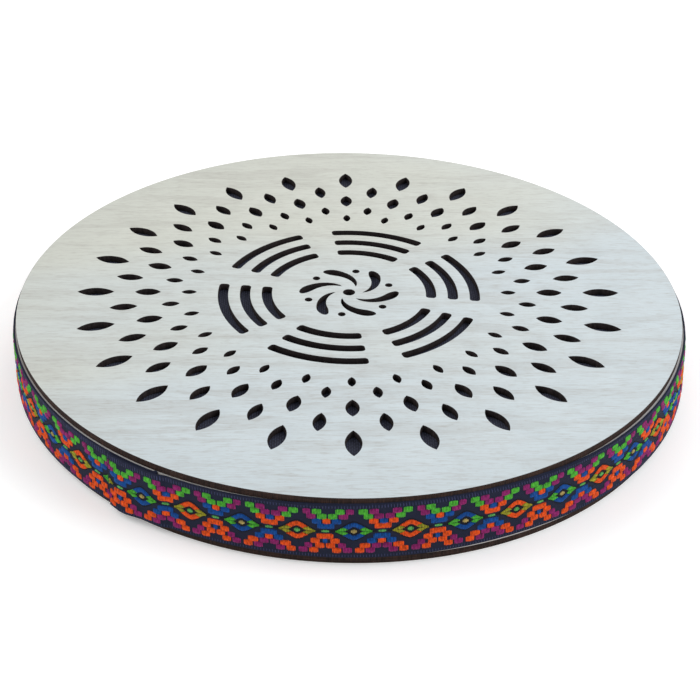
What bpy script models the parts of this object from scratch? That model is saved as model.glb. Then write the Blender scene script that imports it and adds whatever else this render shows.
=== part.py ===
"""Ocean drum: a flat round drum with loose steel beads between two plywood plates.

The top plate is pierced with rings of leaves, curved slots and a whirl, and is lined with cloth underneath.
A bent plywood hoop holds the two plates apart, and a woven ribbon is glued round the hoop.
Metres, +Z up. The origin is the middle of the bottom plate's underside, and the front is towards -Y.
"""

import math
from collections import namedtuple

import bmesh
import bpy

# Plates. The round outlines are polygons of ROUND_SEGMENTS sides.
PLATE_RADIUS = 0.200
PLATE_THICKNESS = 0.004
ROUND_SEGMENTS = 144

# Pieces that are glued or that rest on each other keep this gap.
SEAT_GAP = 0.0003

# Hoop: a bent strip whose tapered ends meet in a scarf joint. It stands a little proud of the plates' edges.
HOOP_HEIGHT = 0.0334
HOOP_WALL = 0.0045
HOOP_STEP = 0.0012
SCARF_LENGTH = 0.024
SCARF_ANGLE = 60.0
SCARF_STATIONS = 4

# Ribbon round the hoop, laid on clockwise. Its far end climbs over the near end and is glued down on it.
RIBBON_THICKNESS = 0.0011
RIBBON_MARGIN = 0.0002
RIBBON_NEAR_END_ANGLE = -122.0
RIBBON_LAP = 0.0264
RIBBON_RAMP = 0.012
RIBBON_LAP_STEPS = 4

# Cloth that closes the holes from below.
CLOTH_THICKNESS = 0.0008
CLOTH_CLEARANCE = 0.0015

# Beads. Each one rolls in a lane of its own along X, and the outermost lanes are the shortest.
BEAD_DIAMETER = 0.006
BEAD_COUNT = 30
OUTER_LANE_TRAVEL = 0.200
REST_SPREAD = 0.86
GOLDEN_RATIO = (math.sqrt(5.0) - 1.0) / 2.0

# Pierced artwork, drawn at its own size and then fitted inside the rim margin of the top plate.
RIM_MARGIN = 0.0346
LEAVES_PER_RING = 24
LeafRing = namedtuple("LeafRing", "radius length width between arc_steps")
LEAF_RINGS = (
    LeafRing(radius=0.1544, length=0.0220, width=0.0090, between=False, arc_steps=4),
    LeafRing(radius=0.1367, length=0.0164, width=0.0070, between=True, arc_steps=4),
    LeafRing(radius=0.1227, length=0.0154, width=0.0075, between=False, arc_steps=4),
    LeafRing(radius=0.1086, length=0.0106, width=0.0052, between=True, arc_steps=3),
    LeafRing(radius=0.0976, length=0.0091, width=0.00445, between=False, arc_steps=3),
)
SLOT_GROUPS = 6
SLOT_FIRST_ANGLE = 15.0
SLOT_RADII = (0.0769, 0.0635, 0.0502)
SLOT_WIDTH = 0.006
SLOT_HALF_SPAN = 22.4
SLOT_ARC_STEPS = 5
SLOT_END_STEPS = 4
WHIRL_COMMAS = 6
WHIRL_TAIL_RADIUS = 0.0085
WHIRL_HEAD_RADIUS = 0.0295
WHIRL_TWIST = 62.0
WHIRL_WIDTH = 0.0066
WHIRL_HEAD_SHARE = 0.80
WHIRL_TAIL_STEPS = 4
WHIRL_HEAD_STEPS = 4
WHIRL_DOT_RING = 0.0262
WHIRL_DOT_RADIUS = 0.0022
WHIRL_HUB_RADIUS = 0.0036
DOT_SIDES = 8

# Sizes and heights that follow from the values above.
HOOP_OUTER = PLATE_RADIUS + HOOP_STEP
HOOP_INNER = HOOP_OUTER - HOOP_WALL
HOOP_BOTTOM = PLATE_THICKNESS + SEAT_GAP
HOOP_TOP = HOOP_BOTTOM + HOOP_HEIGHT
TOP_PLATE_BOTTOM = HOOP_TOP + SEAT_GAP
RIBBON_INNER = HOOP_OUTER + SEAT_GAP
RIBBON_BOTTOM = HOOP_BOTTOM + RIBBON_MARGIN
RIBBON_WIDTH = HOOP_HEIGHT - 2.0 * RIBBON_MARGIN
CLOTH_RADIUS = HOOP_INNER - CLOTH_CLEARANCE
CLOTH_BOTTOM = TOP_PLATE_BOTTOM - SEAT_GAP - CLOTH_THICKNESS
BEAD_RADIUS = BEAD_DIAMETER / 2.0
BEAD_HEIGHT = PLATE_THICKNESS + SEAT_GAP + BEAD_RADIUS
BEAD_REACH = HOOP_INNER - SEAT_GAP - BEAD_RADIUS
ARTWORK_RADIUS = LEAF_RINGS[0].radius + LEAF_RINGS[0].length / 2.0
ARTWORK_SCALE = (PLATE_RADIUS - RIM_MARGIN) / ARTWORK_RADIUS


def polar(radius, degrees):
    """Return the point at this radius and angle round the Z axis."""
    angle = math.radians(degrees)
    return (radius * math.cos(angle), radius * math.sin(angle))


def degrees_along(length, radius):
    """Return the angle in degrees that a length takes up round a circle of this radius."""
    return math.degrees(length / radius)


def circle_outline(radius, sides, middle=(0.0, 0.0)):
    """Return a round outline about a middle point."""
    points = [polar(radius, 360.0 * step / sides) for step in range(sides)]
    return [(middle[0] + x, middle[1] + y) for x, y in points]


def leaf_outline(ring, degrees):
    """Return a leaf of two circular arcs that meet in points, with its long axis on a radius."""
    arc_radius = (ring.length ** 2 + ring.width ** 2) / (4.0 * ring.width)
    half_angle = math.asin(ring.length / (2.0 * arc_radius))
    sagitta_base = arc_radius - ring.width / 2.0
    points = []
    for side in (1.0, -1.0):
        for step in range(ring.arc_steps):
            bend = side * half_angle * (1.0 - 2.0 * step / ring.arc_steps)
            along = ring.radius + arc_radius * math.sin(bend)
            across = side * (arc_radius * math.cos(bend) - sagitta_base)
            points.append((along, across))
    return [rotated(point, degrees) for point in points]


def rotated(point, degrees):
    """Return a point turned round the Z axis."""
    angle = math.radians(degrees)
    x, y = point
    return (x * math.cos(angle) - y * math.sin(angle), x * math.sin(angle) + y * math.cos(angle))


def slot_outline(radius, degrees):
    """Return a slot with round ends that follows a circle of this radius."""
    end_radius = SLOT_WIDTH / 2.0
    end_angle = SLOT_HALF_SPAN - degrees_along(end_radius, radius)
    points = []
    for side in (1.0, -1.0):
        for step in range(SLOT_ARC_STEPS):
            along = degrees - side * end_angle * (1.0 - 2.0 * step / SLOT_ARC_STEPS)
            points.append(polar(radius + side * end_radius, along))
        tip = degrees + side * end_angle
        middle = polar(radius, tip)
        for step in range(SLOT_END_STEPS):
            turn = tip + (0.0 if side > 0.0 else 180.0) + 180.0 * step / SLOT_END_STEPS
            offset = polar(end_radius, turn)
            points.append((middle[0] + offset[0], middle[1] + offset[1]))
    return points


def comma_centre(share, degrees):
    """Return a point on a comma's curved middle line, from its tail (0) to the tip of its head (1)."""
    radius = WHIRL_TAIL_RADIUS + (WHIRL_HEAD_RADIUS - WHIRL_TAIL_RADIUS) * share
    return polar(radius, degrees + WHIRL_TWIST * share)


def comma_half_width(share):
    """Return a comma's half width: it grows from the pointed tail, and the head is round."""
    if share <= WHIRL_HEAD_SHARE:
        return WHIRL_WIDTH / 2.0 * (share / WHIRL_HEAD_SHARE) ** 0.8
    past_head = (share - WHIRL_HEAD_SHARE) / (1.0 - WHIRL_HEAD_SHARE)
    return WHIRL_WIDTH / 2.0 * math.sqrt(1.0 - past_head ** 2)


def comma_outline(degrees):
    """Return one comma of the whirl, with its tail near the middle of the plate."""
    shares = [WHIRL_HEAD_SHARE * step / WHIRL_TAIL_STEPS for step in range(1, WHIRL_TAIL_STEPS)]
    for step in range(WHIRL_HEAD_STEPS):
        turn = math.pi / 2.0 * step / WHIRL_HEAD_STEPS
        shares.append(WHIRL_HEAD_SHARE + (1.0 - WHIRL_HEAD_SHARE) * math.sin(turn))
    left_side = []
    right_side = []
    for share in shares:
        x, y = comma_centre(share, degrees)
        ahead_x, ahead_y = comma_centre(share + 0.01, degrees)
        length = math.hypot(ahead_x - x, ahead_y - y)
        across_x = -(ahead_y - y) / length * comma_half_width(share)
        across_y = (ahead_x - x) / length * comma_half_width(share)
        left_side.append((x + across_x, y + across_y))
        right_side.append((x - across_x, y - across_y))
    tail = comma_centre(0.0, degrees)
    tip = comma_centre(1.0, degrees)
    return [tail] + right_side + [tip] + left_side[::-1]


def artwork_holes():
    """Return the outline of every hole in the top plate, at the artwork's own size."""
    holes = []
    leaf_pitch = 360.0 / LEAVES_PER_RING
    for ring in LEAF_RINGS:
        first = leaf_pitch / 2.0 if ring.between else 0.0
        holes += [leaf_outline(ring, first + leaf_pitch * step) for step in range(LEAVES_PER_RING)]
    for radius in SLOT_RADII:
        for step in range(SLOT_GROUPS):
            holes.append(slot_outline(radius, SLOT_FIRST_ANGLE + 360.0 * step / SLOT_GROUPS))
    comma_pitch = 360.0 / WHIRL_COMMAS
    for step in range(WHIRL_COMMAS):
        holes.append(comma_outline(comma_pitch * step))
        dot_angle = comma_pitch * (step + 0.5) + WHIRL_TWIST * WHIRL_HEAD_SHARE
        holes.append(circle_outline(WHIRL_DOT_RADIUS, DOT_SIDES, polar(WHIRL_DOT_RING, dot_angle)))
    holes.append(circle_outline(WHIRL_HUB_RADIUS, DOT_SIDES))
    return holes


def make_material(name, colour, roughness, metallic=0.0):
    """Return a Principled BSDF material."""
    material = bpy.data.materials.new(name)
    material.use_nodes = True
    shader = material.node_tree.nodes["Principled BSDF"]
    shader.inputs["Base Color"].default_value = (*colour, 1.0)
    shader.inputs["Roughness"].default_value = roughness
    shader.inputs["Metallic"].default_value = metallic
    material.diffuse_color = (*colour, 1.0)
    return material


def mesh_from(build, name, smooth_angle):
    """Return a closed mesh made by a bmesh function, smooth below an angle between its faces."""
    working = bmesh.new()
    build(working)
    bmesh.ops.recalc_face_normals(working, faces=working.faces)
    mesh = bpy.data.meshes.new(name)
    working.to_mesh(mesh)
    working.free()
    mesh.shade_smooth()
    mesh.set_sharp_from_angle(angle=math.radians(smooth_angle))
    return mesh


def add_object(name, mesh, material, parent, location):
    """Put a mesh into the scene as a named piece."""
    if not mesh.materials:
        mesh.materials.append(material)
    piece = bpy.data.objects.new(name, mesh)
    bpy.context.scene.collection.objects.link(piece)
    piece.parent = parent
    piece.location = location
    return piece


def thicken(working, height):
    """Extrude all flat faces upwards into a closed solid."""
    result = bmesh.ops.extrude_face_region(working, geom=working.faces[:])
    lifted = [item for item in result["geom"] if isinstance(item, bmesh.types.BMVert)]
    bmesh.ops.translate(working, verts=lifted, vec=(0.0, 0.0, height))


def pierced_plate(working):
    """Fill the plate's outline around every hole of the artwork, and give it the plate's thickness."""
    holes = [[(x * ARTWORK_SCALE, y * ARTWORK_SCALE) for x, y in hole] for hole in artwork_holes()]
    for outline in [circle_outline(PLATE_RADIUS, ROUND_SEGMENTS)] + holes:
        verts = [working.verts.new((x, y, 0.0)) for x, y in outline]
        for first, second in zip(verts, verts[1:] + verts[:1]):
            working.edges.new((first, second))
    bmesh.ops.triangle_fill(working, use_beauty=True, edges=working.edges[:])
    thicken(working, PLATE_THICKNESS)


def disc(radius, thickness):
    """Return a function that builds a plain round plate."""
    def build(working):
        """Cap a circle and extrude it."""
        bmesh.ops.create_circle(working, cap_ends=True, radius=radius, segments=ROUND_SEGMENTS)
        thicken(working, thickness)
    return build


def strip(stations, height):
    """Return a function that builds an upright strip from pairs of inner and outer plan points."""
    def build(working):
        """Join each station to the next with a flat face, and extrude the faces upwards."""
        rows = []
        for inner, outer in stations:
            rows.append([working.verts.new((x, y, 0.0)) for x, y in (inner, outer)])
        for (inner_a, outer_a), (inner_b, outer_b) in zip(rows, rows[1:]):
            working.faces.new((inner_a, outer_a, outer_b, inner_b))
        thicken(working, height)
    return build


def hoop_stations():
    """Return the hoop's plan points, with both ends cut to one long slant."""
    slant = degrees_along(SCARF_LENGTH, HOOP_OUTER)
    opening = degrees_along(SEAT_GAP, HOOP_OUTER) * SCARF_LENGTH / HOOP_WALL
    whole_turn = 360.0 - opening
    stations = []
    for step in range(ROUND_SEGMENTS + 1):
        degrees = SCARF_ANGLE + whole_turn * step / ROUND_SEGMENTS
        from_end = min(step, ROUND_SEGMENTS - step)
        lean = slant * max(0.0, 1.0 - from_end / (2.0 * SCARF_STATIONS))
        stations.append((polar(HOOP_INNER, degrees + lean), polar(HOOP_OUTER, degrees)))
    return stations


def ribbon_stations():
    """Return the ribbon's plan points, from its near end round to the end that laps over it."""
    lap = degrees_along(RIBBON_LAP, RIBBON_INNER)
    ramp = degrees_along(RIBBON_RAMP, RIBBON_INNER)
    climb = RIBBON_THICKNESS + SEAT_GAP
    flat_turn = 360.0 - ramp
    turns = [flat_turn * step / ROUND_SEGMENTS for step in range(ROUND_SEGMENTS + 1)]
    turns += [flat_turn + ramp * step / 4.0 for step in range(1, 4)]
    turns += [flat_turn + ramp - degrees_along(SEAT_GAP, RIBBON_INNER)]
    turns += [360.0 + lap * step / RIBBON_LAP_STEPS for step in range(1, RIBBON_LAP_STEPS + 1)]
    stations = []
    for turn in turns:
        share = min(1.0, max(0.0, (turn - flat_turn) / ramp * 1.1))
        inner = RIBBON_INNER + climb * (3.0 - 2.0 * share) * share ** 2
        degrees = RIBBON_NEAR_END_ANGLE - turn
        stations.append((polar(inner, degrees), polar(inner + RIBBON_THICKNESS, degrees)))
    return stations


def bead_ball(working):
    """Build one round bead about its own middle."""
    bmesh.ops.create_icosphere(working, subdivisions=2, radius=BEAD_RADIUS)


def bead_lanes():
    """Return each bead's place at rest and its half travel: (x, y, half travel)."""
    outer_lane = math.sqrt(BEAD_REACH ** 2 - (OUTER_LANE_TRAVEL / 2.0) ** 2)
    lanes = []
    for index in range(BEAD_COUNT):
        across = outer_lane * (2.0 * index / (BEAD_COUNT - 1) - 1.0)
        half_travel = math.sqrt(BEAD_REACH ** 2 - across ** 2)
        scatter = 2.0 * ((index + 1) * GOLDEN_RATIO % 1.0) - 1.0
        along = round(scatter * REST_SPREAD * half_travel, 4)
        lanes.append((along, across, half_travel))
    return lanes


def clear_scene():
    """Remove every object that is in the scene."""
    for item in list(bpy.data.objects):
        bpy.data.objects.remove(item, do_unlink=True)


def build_shell(parent):
    """Make the plates, the hoop, the ribbon and the cloth lining."""
    plywood = make_material("pale_plywood", (0.62, 0.66, 0.64), 0.6)
    add_object("top_plate", mesh_from(pierced_plate, "top_plate", 30.0), plywood, parent,
               (0.0, 0.0, TOP_PLATE_BOTTOM))
    base_plywood = make_material("base_plywood", (0.60, 0.62, 0.58), 0.6)
    bottom_disc = disc(PLATE_RADIUS, PLATE_THICKNESS)
    add_object("bottom_plate", mesh_from(bottom_disc, "bottom_plate", 30.0), base_plywood, parent,
               (0.0, 0.0, 0.0))
    bent_plywood = make_material("bent_plywood", (0.66, 0.58, 0.45), 0.55)
    hoop_strip = strip(hoop_stations(), HOOP_HEIGHT)
    add_object("hoop", mesh_from(hoop_strip, "hoop", 30.0), bent_plywood, parent,
               (0.0, 0.0, HOOP_BOTTOM))
    woven_ribbon = make_material("woven_ribbon", (0.03, 0.035, 0.08), 0.85)
    ribbon_strip = strip(ribbon_stations(), RIBBON_WIDTH)
    add_object("trim_ribbon", mesh_from(ribbon_strip, "trim_ribbon", 30.0), woven_ribbon, parent,
               (0.0, 0.0, RIBBON_BOTTOM))
    navy_cloth = make_material("navy_cloth", (0.022, 0.022, 0.042), 0.9)
    cloth_disc = disc(CLOTH_RADIUS, CLOTH_THICKNESS)
    add_object("lining_cloth", mesh_from(cloth_disc, "lining_cloth", 30.0), navy_cloth, parent,
               (0.0, 0.0, CLOTH_BOTTOM))


def build_beads(parent):
    """Make the loose beads, each with its origin in its own lane."""
    steel = make_material("bead_steel", (0.55, 0.56, 0.58), 0.28, metallic=1.0)
    ball_mesh = mesh_from(bead_ball, "bead", 80.0)
    for number, (along, across, _) in enumerate(bead_lanes(), start=1):
        add_object(f"bead_{number:02d}", ball_mesh, steel, parent, (along, across, BEAD_HEIGHT))


def main():
    """Build the whole drum under one empty."""
    clear_scene()
    drum = bpy.data.objects.new("drum", None)
    bpy.context.scene.collection.objects.link(drum)
    build_shell(drum)
    build_beads(drum)


if __name__ == "__main__":
    main()
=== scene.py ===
"""Ocean drum, dressed: pierced plywood face, cloth lining, bent hoop, jacquard ribbon, base and steel beads.

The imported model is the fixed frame. Each class below makes one sub-assembly over it, in the same coordinates:
+Z up, the front towards -Y. Lengths are metres and angles are degrees unless a name says otherwise.
"""

import logging
import math
import random
from dataclasses import dataclass, field
from enum import Enum
from typing import Iterable, Sequence

import bmesh
import bpy
from mathutils import Matrix, Vector, noise


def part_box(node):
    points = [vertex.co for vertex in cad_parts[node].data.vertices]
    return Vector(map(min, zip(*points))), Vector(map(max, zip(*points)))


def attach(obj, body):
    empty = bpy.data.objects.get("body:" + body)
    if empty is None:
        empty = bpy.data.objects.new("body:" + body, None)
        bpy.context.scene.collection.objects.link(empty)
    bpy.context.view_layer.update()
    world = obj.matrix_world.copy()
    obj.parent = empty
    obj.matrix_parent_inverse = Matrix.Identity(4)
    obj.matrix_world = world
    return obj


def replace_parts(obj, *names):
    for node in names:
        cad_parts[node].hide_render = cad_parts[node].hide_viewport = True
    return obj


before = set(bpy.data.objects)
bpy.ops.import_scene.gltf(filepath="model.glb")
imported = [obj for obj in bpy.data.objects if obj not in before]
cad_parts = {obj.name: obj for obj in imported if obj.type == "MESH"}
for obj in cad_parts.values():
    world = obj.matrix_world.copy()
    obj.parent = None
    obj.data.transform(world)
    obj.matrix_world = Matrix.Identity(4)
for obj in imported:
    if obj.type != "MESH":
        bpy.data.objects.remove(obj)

LOG = logging.getLogger("ocean_drum")
MM = 0.001
Point = tuple[float, float]
Outline = list[Point]
Colour = tuple[float, float, float]
Socket = bpy.types.NodeSocket
Place = tuple[float, float, float]

# The least cosine at a corner when an outline grows, so that sharp tips stay short.
TIP_LIMIT = 0.45


# --------------------------------------------------------------------------------------------------------
# Plan geometry


def polar(radius: float, degrees: float) -> Point:
    """Return the plan point at a radius and an angle."""
    angle = math.radians(degrees)
    return (radius * math.cos(angle), radius * math.sin(angle))


def turned(point: Point, degrees: float) -> Point:
    """Return a plan point turned round the origin.

    Args:
        point: the point.
        degrees: the turn, counter-clockwise.
    Returns:
        The turned point.
    """
    angle = math.radians(degrees)
    x, y = point
    return (x * math.cos(angle) - y * math.sin(angle), x * math.sin(angle) + y * math.cos(angle))


def circle(radius: float, sides: int, middle: Point = (0.0, 0.0)) -> Outline:
    """Return a round outline, counter-clockwise.

    Args:
        radius: the circle's radius.
        sides: the number of its points.
        middle: its centre.
    Returns:
        The outline's points.
    """
    points = [polar(radius, 360.0 * step / sides) for step in range(sides)]
    return [(middle[0] + x, middle[1] + y) for x, y in points]


def clamp(value: float, low: float = 0.0, high: float = 1.0) -> float:
    """Return a value kept between two limits."""
    return min(high, max(low, value))


def smoothstep(value: float) -> float:
    """Return an S-curve from 0 to 1."""
    share = clamp(value)
    return share * share * (3.0 - 2.0 * share)


def between(first: float, second: float, share: float) -> float:
    """Return the value at a share of the way from one value to another."""
    return first + (second - first) * share


def grown(outline: Outline, distance: float) -> Outline:
    """Return a counter-clockwise outline moved outwards, with its sharp tips kept short.

    Args:
        outline: the points, counter-clockwise.
        distance: how far each side moves out; negative moves it in.
    Returns:
        The moved points, one for each point given.
    """
    moved = []
    count = len(outline)
    for index, (x, y) in enumerate(outline):
        before = outline[index - 1]
        after = outline[(index + 1) % count]
        first = Vector((y - before[1], before[0] - x)).normalized()
        second = Vector((after[1] - y, x - after[0])).normalized()
        middle = first + second
        middle = (middle if middle.length > 1e-9 else first).normalized()
        reach = distance / max(TIP_LIMIT, middle.dot(first))
        moved.append((x + middle.x * reach, y + middle.y * reach))
    return moved


# --------------------------------------------------------------------------------------------------------
# Mesh building


@dataclass
class MeshDraft:
    """Vertices and faces that are being collected for one piece."""

    verts: list[Place] = field(default_factory=list)
    faces: list[tuple[int, ...]] = field(default_factory=list)
    slots: list[int] = field(default_factory=list)

    def ring(self, points: Iterable[Place]) -> list[int]:
        """Add vertices and return their numbers.

        Args:
            points: the places of the vertices.
        Returns:
            Their numbers, in order.
        """
        first = len(self.verts)
        self.verts.extend(points)
        return list(range(first, len(self.verts)))

    def face(self, corners: Sequence[int], slot: int = 0) -> None:
        """Add one face in a material slot."""
        self.faces.append(tuple(corners))
        self.slots.append(slot)

    def bridge(self, first: Sequence[int], second: Sequence[int], slot: int = 0) -> None:
        """Join two closed rings of the same length with four-sided faces.

        Args:
            first: the vertex numbers of one ring.
            second: the vertex numbers of the next ring.
            slot: the material slot of the new faces.
        """
        count = len(first)
        for index in range(count):
            after = (index + 1) % count
            self.face((first[index], first[after], second[after], second[index]), slot)

    def mesh(self, name: str, smooth_angle: float = 35.0) -> bpy.types.Mesh:
        """Return the mesh, with its normals out and smooth below an angle.

        Args:
            name: the mesh's name.
            smooth_angle: the sharpest bend that is still shaded smooth.
        Returns:
            The new mesh.
        """
        mesh = bpy.data.meshes.new(name)
        mesh.from_pydata(self.verts, [], self.faces)
        mesh.polygons.foreach_set("material_index", self.slots)
        working = bmesh.new()
        working.from_mesh(mesh)
        bmesh.ops.recalc_face_normals(working, faces=working.faces)
        working.to_mesh(mesh)
        working.free()
        mesh.shade_smooth()
        mesh.set_sharp_from_angle(angle=math.radians(smooth_angle))
        return mesh


def add_piece(name: str, mesh: bpy.types.Mesh, materials: Sequence[bpy.types.Material],
              body: str = "drum") -> bpy.types.Object:
    """Put a mesh into the scene as a piece that rides on a body.

    Args:
        name: the piece's name.
        mesh: its mesh, in the frame's own coordinates.
        materials: the materials of its slots, in order.
        body: the body that it moves with.
    Returns:
        The new object.
    """
    for material in materials:
        mesh.materials.append(material)
    piece = bpy.data.objects.new(name, mesh)
    bpy.context.scene.collection.objects.link(piece)
    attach(piece, body)
    LOG.info("%s: %d faces, rides on %s", name, len(mesh.polygons), body)
    return piece


# --------------------------------------------------------------------------------------------------------
# Node building


class NodeBoard:
    """A node tree that is being wired, with short calls for the nodes used most."""

    def __init__(self, tree: bpy.types.NodeTree) -> None:
        """Take the tree to wire."""
        self.tree = tree

    def feed(self, socket: Socket, value: object) -> None:
        """Link a socket to another one, or set its plain value.

        Args:
            socket: the input to feed.
            value: another socket, or a plain value.
        """
        if isinstance(value, bpy.types.NodeSocket):
            self.tree.links.new(value, socket)
        else:
            socket.default_value = value

    def node(self, kind: str, inputs: dict[object, object] | None = None,
             **settings: object) -> bpy.types.Node:
        """Add a node.

        Args:
            kind: the node's Blender type.
            inputs: what feeds its inputs, by name or number.
            **settings: properties of the node.
        Returns:
            The new node.
        """
        node = self.tree.nodes.new(kind)
        for name, value in settings.items():
            setattr(node, name, value)
        for name, value in (inputs or {}).items():
            self.feed(node.inputs[name], value)
        return node

    def maths(self, operation: str, first: object, second: object = 0.0, clamped: bool = False) -> Socket:
        """Return the result of a Math node."""
        inputs = {0: first, 1: second}
        return self.node("ShaderNodeMath", inputs, operation=operation, use_clamp=clamped).outputs[0]

    def scaled(self, vector: object, scales: Place) -> Socket:
        """Return a vector multiplied along each axis."""
        inputs = {0: vector, 1: scales}
        return self.node("ShaderNodeVectorMath", inputs, operation="MULTIPLY").outputs[0]

    def noise(self, vector: object, scale: object = 1.0, detail: float = 2.0,
              distortion: float = 0.0) -> Socket:
        """Return a Noise Texture's value."""
        inputs = {"Vector": vector, "Scale": scale, "Detail": detail, "Distortion": distortion}
        return self.node("ShaderNodeTexNoise", inputs).outputs[0]

    def window(self, value: object, low: object, high: object) -> Socket:
        """Return 0 below low, 1 above high, and a smooth step between them."""
        inputs = {"Value": value, "From Min": low, "From Max": high}
        return self.node("ShaderNodeMapRange", inputs, interpolation_type="SMOOTHSTEP").outputs[0]

    def blend(self, share: object, first: object, second: object) -> Socket:
        """Return a colour between two colours."""
        inputs = {0: share, 6: first, 7: second}
        return self.node("ShaderNodeMix", inputs, data_type="RGBA").outputs[2]

    def split(self, vector: object) -> tuple[Socket, Socket, Socket]:
        """Return a vector's three parts."""
        parts = self.node("ShaderNodeSeparateXYZ", {0: vector}).outputs
        return (parts[0], parts[1], parts[2])

    def joined(self, x: object, y: object, z: object) -> Socket:
        """Return a vector made of three parts."""
        return self.node("ShaderNodeCombineXYZ", {0: x, 1: y, 2: z}).outputs[0]


class Wiring(Enum):
    """The kinds of socket that a shared effect has."""

    VECTOR = "NodeSocketVector"
    COLOUR = "NodeSocketColor"
    VALUE = "NodeSocketFloat"


class SharedEffect:
    """A shader node group with named inputs and outputs, built once and placed in many materials."""

    name: str = "effect"
    inputs: dict[str, tuple[Wiring, object]] = {}
    outputs: dict[str, Wiring] = {}

    def wire(self, board: NodeBoard, given: dict[str, Socket]) -> dict[str, Socket]:
        """Build the group's nodes.

        Args:
            board: the group's own tree.
            given: the group's inputs, by name.
        Returns:
            The sockets that feed the group's outputs, by name.
        """
        raise NotImplementedError

    def group(self) -> bpy.types.NodeTree:
        """Return the node group, and build it on its first use.

        Returns:
            The group.
        """
        known = bpy.data.node_groups.get(self.name)
        if known is not None:
            return known
        tree = bpy.data.node_groups.new(self.name, "ShaderNodeTree")
        for name, (kind, value) in self.inputs.items():
            socket = tree.interface.new_socket(name=name, in_out="INPUT", socket_type=kind.value)
            if value is not None:
                socket.default_value = value
        for name, kind in self.outputs.items():
            tree.interface.new_socket(name=name, in_out="OUTPUT", socket_type=kind.value)
        board = NodeBoard(tree)
        source = board.node("NodeGroupInput")
        target = board.node("NodeGroupOutput")
        given = {name: source.outputs[name] for name in self.inputs}
        for name, socket in self.wire(board, given).items():
            board.feed(target.inputs[name], socket)
        return tree

    def place(self, board: NodeBoard, **values: object) -> dict[str, Socket]:
        """Put the group into a material.

        Args:
            board: the material's tree.
            **values: the group's inputs, with _ for each space.
        Returns:
            The group's outputs, by name.
        """
        node = board.node("ShaderNodeGroup", node_tree=self.group())
        for name, value in values.items():
            board.feed(node.inputs[name.replace("_", " ")], value)
        return {name: node.outputs[name] for name in self.outputs}


class RoundHoop(SharedEffect):
    """Coordinates that run round the drum: length round the hoop, height, and radius."""

    name = "round_the_hoop"
    inputs = {"Position": (Wiring.VECTOR, None), "Radius": (Wiring.VALUE, 0.2)}
    outputs = {"Unrolled": Wiring.VECTOR}

    def wire(self, board: NodeBoard, given: dict[str, Socket]) -> dict[str, Socket]:
        """Turn the plan angle into a length.

        Args:
            board: the group's own tree.
            given: the group's inputs, by name.
        Returns:
            The group's output, by name.
        """
        x, y, z = board.split(given["Position"])
        angle = board.maths("ARCTAN2", y, x)
        along = board.maths("MULTIPLY", angle, given["Radius"])
        square = board.maths("ADD", board.maths("MULTIPLY", x, x), board.maths("MULTIPLY", y, y))
        radius = board.maths("SQRT", square)
        return {"Unrolled": board.joined(along, z, radius)}


class WoodGrain(SharedEffect):
    """Fine veneer: a drifting tone, faint figure, long fibres and short open pores along X, and a painted light
    tint from cool to warm.
    """

    name = "wood_grain"
    inputs = {
        "Position": (Wiring.VECTOR, None),
        "Pale": (Wiring.COLOUR, (0.6, 0.6, 0.6, 1.0)),
        "Warm": (Wiring.COLOUR, (0.6, 0.55, 0.5, 1.0)),
        "Line": (Wiring.COLOUR, (0.4, 0.35, 0.3, 1.0)),
        # Painted light: a value that shifts the tone towards Warm where warmer light is painted.
        "PaintedLight": (Wiring.VALUE, 0.0),
        "Figure": (Wiring.VALUE, 0.3),
    }
    outputs = {"Colour": Wiring.COLOUR, "Height": Wiring.VALUE}
    drift_scale: Place = (4.0, 9.0, 9.0)
    figure_scale: Place = (9.0, 85.0, 85.0)
    streak_scale: Place = (150.0, 820.0, 820.0)
    fibre_scale: Place = (48.0, 1500.0, 1500.0)
    pore_scale: Place = (330.0, 3600.0, 3600.0)
    streak_weight: float = 0.30
    fibre_weight: float = 0.24
    pore_weight: float = 0.42
    fibre_relief: float = 0.5
    pore_relief: float = 0.6

    def wire(self, board: NodeBoard, given: dict[str, Socket]) -> dict[str, Socket]:
        """Mix five scales of noise, each stretched along the grain.

        Args:
            board: the group's own tree.
            given: the group's inputs, by name.
        Returns:
            The group's outputs, by name.
        """
        place = given["Position"]
        drift = board.noise(board.scaled(place, self.drift_scale), 1.0, 2.0)
        steady = board.maths("ADD", board.maths("MULTIPLY", drift, 0.55), 0.22)
        # The tone share is the veneer's random drift plus the painted light tint.
        warm = board.window(board.maths("ADD", steady, given["PaintedLight"]), 0.34, 0.72)
        tone = board.blend(warm, given["Pale"], given["Warm"])
        figure = board.noise(board.scaled(place, self.figure_scale), 1.0, 3.0, 1.1)
        streak = board.noise(board.scaled(place, self.streak_scale), 1.0, 2.0)
        fibre = board.noise(board.scaled(place, self.fibre_scale), 1.0, 2.0)
        pore = board.noise(board.scaled(place, self.pore_scale), 1.0, 1.0)
        streak_line = board.window(streak, 0.44, 0.78)
        fibre_line = board.window(fibre, 0.42, 0.75)
        pore_mark = board.window(pore, 0.66, 0.76)
        weight = board.maths("MULTIPLY", board.window(figure, 0.48, 0.64), given["Figure"])
        weight = board.maths("ADD", weight, board.maths("MULTIPLY", streak_line, self.streak_weight))
        weight = board.maths("ADD", weight, board.maths("MULTIPLY", fibre_line, self.fibre_weight))
        weight = board.maths("ADD", weight, board.maths("MULTIPLY", pore_mark, self.pore_weight), True)
        colour = board.blend(weight, tone, given["Line"])
        raised = board.maths("MULTIPLY", fibre, self.fibre_relief)
        height = board.maths("SUBTRACT", raised, board.maths("MULTIPLY", pore_mark, self.pore_relief))
        return {"Colour": colour, "Height": height}


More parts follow.
